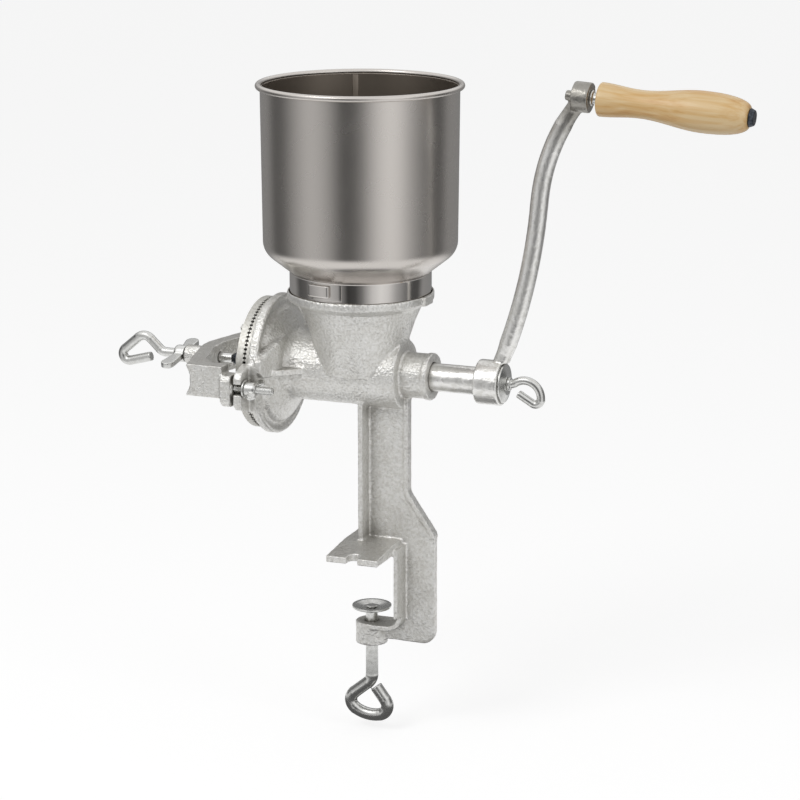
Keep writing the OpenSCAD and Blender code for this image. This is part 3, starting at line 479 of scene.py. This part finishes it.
def wrapped_plate(name, radius_mm, middle_deg, width_mm, low_mm, high_mm, thickness_mm, bevel_mm,
                  flare_mm=0.0):
    """A small plate with rounded edges, wrapped round the hopper's axis; flare widens its top."""
    bpy.ops.object.select_all(action="DESELECT")
    bpy.ops.mesh.primitive_grid_add(x_subdivisions=max(2, int(width_mm / 2.4)), y_subdivisions=3, size=1)
    plate = bpy.context.object
    plate.name = plate.data.name = name
    bpy.ops.object.mode_set(mode="EDIT")
    bpy.ops.mesh.select_all(action="SELECT")
    bpy.ops.mesh.extrude_region_move(TRANSFORM_OT_translate={"value": (0, 0, 1)})
    bpy.ops.object.mode_set(mode="OBJECT")
    for v in plate.data.vertices:
        a = math.radians(middle_deg) + v.co.x * width_mm / radius_mm
        r = (radius_mm + v.co.z * thickness_mm + (v.co.y + 0.5) * flare_mm) * MM
        v.co = Vector((HOPPER_AXIS.x + r * math.cos(a), r * math.sin(a),
                       (low_mm + (v.co.y + 0.5) * (high_mm - low_mm)) * MM))
    close_up(plate)
    edge = plate.modifiers.new("rounded", "BEVEL")
    edge.width = bevel_mm * MM
    edge.segments = 3
    edge.angle_limit = math.radians(40)
    apply_all(plate)
    return plate


def join(base, *others):
    """Joins small pieces into a base piece."""
    only(base)
    for other in others:
        other.select_set(True)
    bpy.ops.object.join()
    only(base)
    return base


# %% [markdown]
# ## The hopper bowl
# The real bowl is one disc of sheet, spun to shape, with its rim rolled round a wire. The wall is pulled
# up from the neck, over the round shoulder to the rim, and then gets its thickness. The wire's bead is a
# ring of its own, joined on. Faces that look at the hopper's axis get the dull inside finish, whose
# darker brown tint is painted shade.

# %% Spin the bowl
SHEET_MM, ROUND_STEPS = 0.8, 192
NECK_R, FOOT_R, RIM_R = 49.95, 69.5, 70.5
WALL_LOW, WALL_HIGH, WALL_STEPS = 226.8, 335.6, 8
BEAD_R, BEAD_Z = 2.1, 337.0
neck = [(NECK_R, 193), (NECK_R, 203.4)] + corner(51.2, 204.0, 1.25, 180, 128, 4)
shoulder = [(57.3, 210.4)] + corner(FOOT_R - 14, WALL_LOW, 14, -52, 0, 12)
side = [(FOOT_R + i / WALL_STEPS, WALL_LOW + 13.2 * i) for i in range(1, WALL_STEPS + 1)]
bowl = pull_up("spun_hopper_bowl", HOPPER_AXIS, neck + shoulder + side + [(RIM_R, WALL_HIGH)], ROUND_STEPS)
wall(bowl, SHEET_MM)
bpy.ops.object.select_all(action="DESELECT")
bpy.ops.mesh.primitive_torus_add(major_segments=ROUND_STEPS, minor_segments=20, major_radius=71.8 * MM,
                                 minor_radius=BEAD_R * MM, location=(HOPPER_AXIS.x, 0, BEAD_Z * MM))
bead = bpy.context.object
bpy.ops.object.transform_apply(location=True)
seam = wrapped_plate("bowl_seam", radius_mm=68.3, middle_deg=115, width_mm=4, low_mm=227, high_mm=335,
                     thickness_mm=0.6, bevel_mm=0.25, flare_mm=1.0)
join(bowl, bead, seam)
bpy.ops.object.shade_smooth_by_angle(angle=math.radians(50))
stand_for(bowl, "hopper_bowl", TIN, TIN_INSIDE_SHADED)
# Faces that look inwards take the finish with the painted shade.
for face in bowl.data.polygons:
    outwards = (face.center - HOPPER_AXIS) * Vector((1, 1, 0))
    looks_in = face.normal.dot(outwards.normalized()) < -0.3
    face.material_index = int(looks_in and face.center.z < 335 * MM)
print("inside faces on the bowl:", sum(face.material_index for face in bowl.data.polygons))

# %% [markdown]
# ## The polished collar
# The collar is a strip of sheet bent to a ring. Its ends lap on the near side, where a small tongue is
# folded over to hold them. The ring is pulled up like the bowl, and the lap and the tongue are small
# plates wrapped on it.

# %% Collar, lap and tongue
COLLAR_R = 50.8
collar_rings = [(50.2, 187.1), (COLLAR_R, 187.7), (COLLAR_R, 191), (COLLAR_R, 196), (COLLAR_R, 203.4),
                (50.5, 204.3), (50.1, 204.6)]
collar = pull_up("polished_collar", HOPPER_AXIS, collar_rings, ROUND_STEPS)
wall(collar, SHEET_MM)
lap = wrapped_plate("collar_lap", radius_mm=50.6, middle_deg=-96.5, width_mm=24, low_mm=191.6, high_mm=203.7,
                    thickness_mm=0.8, bevel_mm=0.3)
tongue = wrapped_plate("collar_tongue", radius_mm=51.2, middle_deg=-102, width_mm=17, low_mm=193.6,
                       high_mm=203.0, thickness_mm=3.0, bevel_mm=1.4)
join(collar, lap, tongue)
bpy.ops.object.shade_smooth_by_angle(angle=math.radians(40))
stand_for(collar, "hopper_collar", POLISHED)

# %% [markdown]
# ## The studs with their threads
# Each stud carries a thread of one millimetre. A thread is a ridge that climbs as it goes round: the wall
# has four rings for each turn, and each point moves in by how far its height is ahead of its angle.

# %% Cut the threads
STUD_RADIUS, STUD_PITCH, STUD_DEPTH = 3.0, 1.0, 0.5
STUD_END, STUD_CHAMFER = 0.8, 0.7


def threaded_stud(node, name):
    """A stud along the shaft's direction with a helical thread and a chamfer at its free end."""
    low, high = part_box(node)
    length = (high[0] - low[0]) / MM
    rings = [(STUD_RADIUS, i * STUD_PITCH / 4) for i in range(int(length * 4 / STUD_PITCH))]
    stud = pull_up(name, Vector((0, 0, 0)), rings + [(STUD_RADIUS, length)], 24)
    for v in stud.data.vertices:
        turn = math.atan2(v.co.y, v.co.x) / (2 * math.pi)
        ridge = abs(((v.co.z / MM / STUD_PITCH - turn) % 1.0) * 2 - 1)
        end = max(0.0, 1 - (length - v.co.z / MM) / STUD_END)
        r = (STUD_RADIUS - STUD_DEPTH * ridge - STUD_CHAMFER * end * (1 - ridge)) * MM
        v.co.x, v.co.y = r * math.cos(2 * math.pi * turn), r * math.sin(2 * math.pi * turn)
    close_up(stud)
    middle = (Vector(low) + Vector(high)) / 2
    lie_down = Matrix.Rotation(math.radians(90), 4, "Y")
    stud.data.transform(Matrix.Translation((low[0], middle.y, middle.z)) @ lie_down)
    only(stud)
    bpy.ops.object.shade_smooth_by_angle(angle=math.radians(70))
    return stand_for(stud, node, ZINC)


threaded_stud("stud_near", "threaded_stud_near")
threaded_stud("stud_far", "threaded_stud_far")

# %% [markdown]
# ## The wooden grip
# The grip is turned on a lathe: thick at its inner end, a waist for the fingers, a belly for the palm,
# and a rounded tip. We pull it up ring by ring along a vertical axis, and then lay it on the crank's pin.

# %% Turn the grip and lay it on its pin
GRIP_END_D, GRIP_WAIST_D, GRIP_BELLY_D, GRIP_TIP_D = 23.6, 19.4, 28.4, 13.4
PIN_HOLE_R = 3.6


def ease(t):
    """A soft step from 0 to 1."""
    return (1 - math.cos(math.pi * t)) / 2


def grip_radius(s):
    """The turned profile, from the inner end."""
    waist, belly = GRIP_LENGTH * 0.28, GRIP_LENGTH * 0.7
    if s < waist:
        return (GRIP_END_D + (GRIP_WAIST_D - GRIP_END_D) * ease(s / waist)) / 2
    if s < belly:
        return (GRIP_WAIST_D + (GRIP_BELLY_D - GRIP_WAIST_D) * ease((s - waist) / (belly - waist))) / 2
    dome = math.sqrt(max(0.0, 1 - ((s - belly) / (GRIP_LENGTH - belly)) ** 2.4))
    return (GRIP_TIP_D + (GRIP_BELLY_D - GRIP_TIP_D) * dome) / 2


grip_rings = [(PIN_HOLE_R, 0.0), (8.5, 0.0), (10.2, 0.0)] + corner(grip_radius(2) - 1.6, 1.6, 1.6, -90, 0, 5)
grip_rings += [(grip_radius(s), s) for s in [2 + 1.5 * i for i in range(1, 66)]]
grip_rings += [(grip_radius(s), s) for s in (101.2, 102.4, 103.4, 104.2, 104.7, 104.95)]
grip_rings += [(5.4, GRIP_LENGTH)] + [(PIN_HOLE_R, z) for z in (GRIP_LENGTH, GRIP_LENGTH - 1, 1.0, 0.0)]
grip_rings = [(max(r, PIN_HOLE_R), z) for r, z in grip_rings]
grip = pull_up("turned_grip", Vector((0, 0, 0)), grip_rings, 96)
close_up(grip)
lay = Matrix.Translation(EYE) @ Matrix.Rotation(math.radians(90) + GRIP_TILT, 4, "Y")
grip.data.transform(lay @ Matrix.Translation((0, 0, GRIP_START * MM)))
only(grip)
bpy.ops.object.shade_smooth_by_angle(angle=math.radians(40))
stand_for(grip, "wooden_grip", WOOD)

# %% [markdown]
# ## The solids that stay
# Some solids already have the right shape: the shaft, the worm, the pins, the plates with their furrows.
# They only get their finish.

# %% Finishes for the solids that stay
FINISH_OF_SLOT = {"tinned_iron": SMOOTH_CASTING_PAINTED_LIGHT, "tin_sheet": TIN, "polished_sheet": POLISHED,
                  "burr_iron": PLATE_IRON, "zinc_steel": ZINC, "dark_steel": DARK_STEEL, "beech": WOOD}
for name, solid in nodes.items():
    solid.data.materials.clear()
    solid.data.materials.append(FINISH_OF_SLOT[slot_of_node[name]])
print("solids that stay:", sorted(n for n, o in nodes.items() if not o.hide_render))

# %% [markdown]
# ## The floor and the background
# The photo stands on plain white. White for the eye and white as a lamp are two things: the floor and
# the world show full white to the camera and in reflections, but give the mill only a plain soft light.
# Light Path tells the rays apart. A part of the floor is plain dull white, which keeps the soft shadow.

# %% Floor and white background
CAMERA_TARGET = Vector((20.1, 5.3, 110.1)) * MM
CAMERA_EYE = Vector((730.4, -1797.9, 604.1)) * MM
FLOOR_Z = -142.5 * MM
FLOOR_SHOWN, FLOOR_LIGHT = 0.57, 0.16
WORLD_SHOWN, WORLD_LIGHT = 1.0, 0.46


def white_rays(tree):
    """1 for rays that show the background: from the camera, off metal and through glass."""
    path = add(tree, "ShaderNodeLightPath")
    total = path.outputs["Is Camera Ray"]
    for name in ("Is Glossy Ray", "Is Transmission Ray"):
        either = add(tree, "ShaderNodeMath", links={0: total, 1: path.outputs[name]}, operation="MAXIMUM")
        total = either.outputs[0]
    return total


def floor_material():
    """White floor that keeps a soft shadow."""
    material, tree, _ = new_material("pale_studio_floor")
    dull = add(tree, "ShaderNodeBsdfDiffuse", {"Color": grey(0.4)})
    level = add(tree, "ShaderNodeMath", {1: FLOOR_SHOWN, 2: FLOOR_LIGHT}, {0: white_rays(tree)},
                operation="MULTIPLY_ADD")
    glow = add(tree, "ShaderNodeEmission", {"Color": grey(1.0)}, {"Strength": level.outputs[0]})
    return coat(material, add(tree, "ShaderNodeAddShader", links={0: dull.outputs[0], 1: glow.outputs[0]}))


bpy.ops.object.select_all(action="DESELECT")
bpy.ops.mesh.primitive_plane_add(size=30, location=(0, 0, FLOOR_Z))
floor = bpy.context.object
floor.name = "studio_floor"
floor.data.materials.append(floor_material())

world = bpy.data.worlds.new("white_studio")
bpy.context.scene.world = world
world.use_nodes = True
tree = world.node_tree
background = add(tree, "ShaderNodeMix", {"A": grey(WORLD_LIGHT), "B": grey(WORLD_SHOWN)},
                 {"Factor": white_rays(tree)}, data_type="RGBA")
tree.links.new(background.outputs["Result"], tree.nodes["Background"].inputs["Color"])
print("floor at", round(floor.location.z, 4), "world", world.name)

# %% [markdown]
# ## The curtain
# Polished metal is hard to photograph on white: with white all round it has no shape. So a photographer
# hangs a curtain round the table, with dark strips beside the camera, and the metal gets its dark and
# bright bands from them. Here the curtain is a tube round the mill that only reflections see. Its
# brightness goes round with the direction, and it fades into the white ceiling at its top. Its foot lies
# on the table: white, but with a painted shadow of the mill right under it, for the faces that look down.

# %% Curtain round the table
CURTAIN_RADIUS, CURTAIN_TOP, CURTAIN_SIDES = 0.9, 1.15, 128
STRIPS = [(-180, 0.20), (-150, 0.28), (-128, 0.32), (-112, 0.10), (-95, 0.14), (-78, 0.40), (-60, 0.66),
          (-48, 0.62), (-36, 0.45), (-20, 0.05), (-8, 0.08), (2, 0.22), (18, 0.75), (32, 0.97), (44, 0.85),
          (58, 0.48), (74, 0.25), (92, 0.09), (104, 0.10), (118, 0.34), (140, 0.30), (180, 0.20)]


def curtain_material():
    """Dark and bright strips round the table; 0 degrees is behind the camera, positive to its right."""
    material, tree, place = new_material("studio_curtain")
    parts = add(tree, "ShaderNodeSeparateXYZ", links={"Vector": place})
    angle = add(tree, "ShaderNodeMath", links={0: parts.outputs["Y"], 1: parts.outputs["X"]},
                operation="ARCTAN2")
    camera_angle = math.atan2(CAMERA_EYE.y - CAMERA_TARGET.y, CAMERA_EYE.x - CAMERA_TARGET.x)
    turn = add(tree, "ShaderNodeMath", {1: camera_angle - math.pi}, {0: angle.outputs[0]},
               operation="SUBTRACT")
    one_turn = add(tree, "ShaderNodeMath", {1: 2 * math.pi, 2: 0.0}, {0: turn.outputs[0]}, operation="WRAP")
    share = add(tree, "ShaderNodeMath", {1: 2 * math.pi}, {0: one_turn.outputs[0]}, operation="DIVIDE")
    strips = add(tree, "ShaderNodeValToRGB", links={"Fac": share.outputs[0]},
                 stops=[((degrees + 180) / 360, grey(level)) for degrees, level in STRIPS])
    top = add(tree, "ShaderNodeMapRange", {"From Min": 0.40, "From Max": 0.75}, {"Value": parts.outputs["Z"]})
    flat = add(tree, "ShaderNodeVectorMath", {1: (1.0, 1.0, 0.0)}, {0: place}, operation="MULTIPLY")
    reach = add(tree, "ShaderNodeVectorMath", links={0: flat.outputs["Vector"]}, operation="LENGTH")
    near = add(tree, "ShaderNodeMapRange", {"From Min": 0.85, "From Max": 0.5},
               {"Value": reach.outputs["Value"]})
    # A dark disc right under the mill, fading to white: a painted shadow of the mill for faces that look
    # down.
    painted_mill_shadow = add(tree, "ShaderNodeValToRGB", links={"Fac": reach.outputs["Value"]},
                stops=[(0.09, grey(0.12)), (0.15, grey(0.75)), (0.2, grey(1.0))])
    low = add(tree, "ShaderNodeMix", links={"Factor": near.outputs["Result"], "A": strips.outputs["Color"],
                                            "B": painted_mill_shadow.outputs["Color"]}, data_type="RGBA")
    shown = add(tree, "ShaderNodeMix", {"B": grey(1.0)},
                {"Factor": top.outputs["Result"], "A": low.outputs["Result"]}, data_type="RGBA")
    glow = add(tree, "ShaderNodeEmission", {"Strength": 1.0}, {"Color": shown.outputs["Result"]})
    return coat(material, glow)


bpy.ops.object.select_all(action="DESELECT")
curtain_foot = FLOOR_Z + MM
bpy.ops.mesh.primitive_cylinder_add(vertices=CURTAIN_SIDES, radius=CURTAIN_RADIUS,
                                    depth=CURTAIN_TOP - curtain_foot, end_fill_type="TRIFAN",
                                    location=(0, 0, (CURTAIN_TOP + curtain_foot) / 2))
curtain = bpy.context.object
bpy.ops.object.transform_apply(location=True)
bpy.ops.object.mode_set(mode="EDIT")
bpy.ops.mesh.select_all(action="DESELECT")
bpy.ops.object.mode_set(mode="OBJECT")
for face in curtain.data.polygons:
    face.select = face.normal.z > 0.9
bpy.ops.object.mode_set(mode="EDIT")
bpy.ops.mesh.delete(type="ONLY_FACE")
bpy.ops.object.mode_set(mode="OBJECT")
curtain.name = "studio_curtain"
curtain.data.materials.append(curtain_material())
curtain.visible_camera = curtain.visible_diffuse = False
curtain.visible_shadow = curtain.visible_transmission = False
print("curtain:", len(curtain.data.polygons), "faces,", len(STRIPS), "strips")

# %% [markdown]
# ## The lamps
# Two weak soft lamps add the shine that a big window would give: one high on the left, one on the crank's
# side. Most of the light comes from the studio itself.

# %% Lamps
def soft_lamp(name, place_m, aim, size_m, watts):
    """A square soft lamp that faces a point."""
    bpy.ops.object.select_all(action="DESELECT")
    bpy.ops.object.light_add(type="AREA", location=place_m)
    lamp = bpy.context.object
    lamp.name = name
    lamp.data.size = size_m
    lamp.data.energy = watts
    lamp.rotation_euler = (aim - Vector(place_m)).to_track_quat("-Z", "Y").to_euler()
    return lamp


lamps = [soft_lamp("key_lamp", (-0.7, -1.3, 1.5), CAMERA_TARGET, size_m=0.9, watts=11),
         soft_lamp("side_lamp", (1.6, -0.6, 0.9), CAMERA_TARGET, size_m=0.8, watts=4)]
print("lamps:", [(lamp.name, lamp.data.energy) for lamp in lamps])

# %% [markdown]
# ## The camera
# The photo was measured with a fitted camera: about two metres away, 21.5 degrees round to the crank's
# side and 14.3 degrees up, through a long lens.

# %% Camera
bpy.ops.object.select_all(action="DESELECT")
bpy.ops.object.camera_add(location=CAMERA_EYE)
camera = bpy.context.object
camera.name = "photo_camera"
camera.rotation_euler = (CAMERA_TARGET - CAMERA_EYE).to_track_quat("-Z", "Y").to_euler()
camera.data.sensor_width = 36
camera.data.lens = 124.92
bpy.context.scene.camera = camera
bpy.context.scene.view_settings.view_transform = "Standard"
print("camera", [round(x, 3) for x in camera.location], "lens", camera.data.lens)
